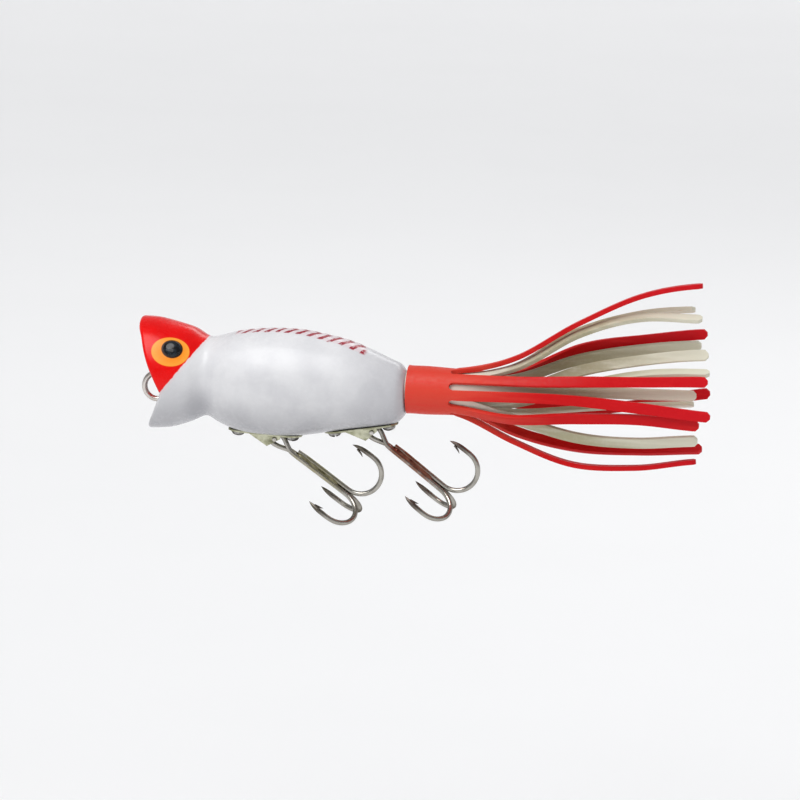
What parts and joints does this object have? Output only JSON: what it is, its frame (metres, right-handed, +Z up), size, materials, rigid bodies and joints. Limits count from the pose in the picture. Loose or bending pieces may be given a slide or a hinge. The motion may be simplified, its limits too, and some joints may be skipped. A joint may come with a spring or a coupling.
{
  "type": "topwater popper",
  "caption": "Cup-mouthed surface fishing lure: hollow two-half body, screw-eye line tie, belly hangers with treble hooks, and a two-layer rubber strand skirt at the tail.",
  "frame": {"origin": "centre of the line tie's ring, where the line is knotted", "axes": "+X runs to the tail and the skirt, +Z up to the lure's back, and the lure's left side faces -Y"},
  "size_m": [0.1248, 0.0228, 0.0563],
  "materials": {
    "shell": "glossy white lacquer, with a red face and orange-ringed black eyes",
    "tie_wire": "bright nickel-plated wire",
    "stem": "dark moulded plastic",
    "red_rubber": "soft satin red rubber, paler where it is stretched over the stem",
    "cream_rubber": "slightly translucent cream rubber",
    "hanger": "dull greenish nickel-brass plate",
    "hinge_pin": "plain plated steel",
    "screw": "plated steel, darker in the slot",
    "hook": "bright nickel with bronze-coloured braze along the shank"
  },
  "bodies": {
    "body": {"body_left_half": "shell", "body_right_half": "shell", "line_tie": "tie_wire", "skirt_post": "stem", "skirt_outer": "red_rubber", "skirt_inner": "cream_rubber", "front_hanger": "hanger", "rear_hanger": "hanger", "front_hanger_screw_front": "screw", "front_hanger_screw_rear": "screw", "rear_hanger_screw_front": "screw", "rear_hanger_screw_rear": "screw"},
    "front_hook_pin": {"front_hanger_pin": "hinge_pin"},
    "front_treble": {"front_treble_double": "hook", "front_treble_single": "hook"},
    "rear_hook_pin": {"rear_hanger_pin": "hinge_pin"},
    "rear_treble": {"rear_treble_double": "hook", "rear_treble_single": "hook"}
  },
  "joints": [
    {"name": "front_treble_swing", "type": "hinge", "parent": "body", "child": "front_hook_pin", "pos_m": [0.02636, 0, -0.01005], "axis": [0, 1, 0], "range_deg": [-2, 60]},
    {"name": "front_treble_sway", "type": "hinge", "parent": "front_hook_pin", "child": "front_treble", "pos_m": [0.02636, 0, -0.01005], "axis": [0.5707, 0, 0.8211], "range_deg": [-8, 8]},
    {"name": "rear_treble_swing", "type": "hinge", "parent": "body", "child": "rear_hook_pin", "pos_m": [0.04766, 0, -0.00729], "axis": [0, 1, 0], "range_deg": [-12, 24]},
    {"name": "rear_treble_sway", "type": "hinge", "parent": "rear_hook_pin", "child": "rear_treble", "pos_m": [0.04766, 0, -0.00729], "axis": [0.6018, 0, 0.7986], "range_deg": [-8, 8]}
  ]
}
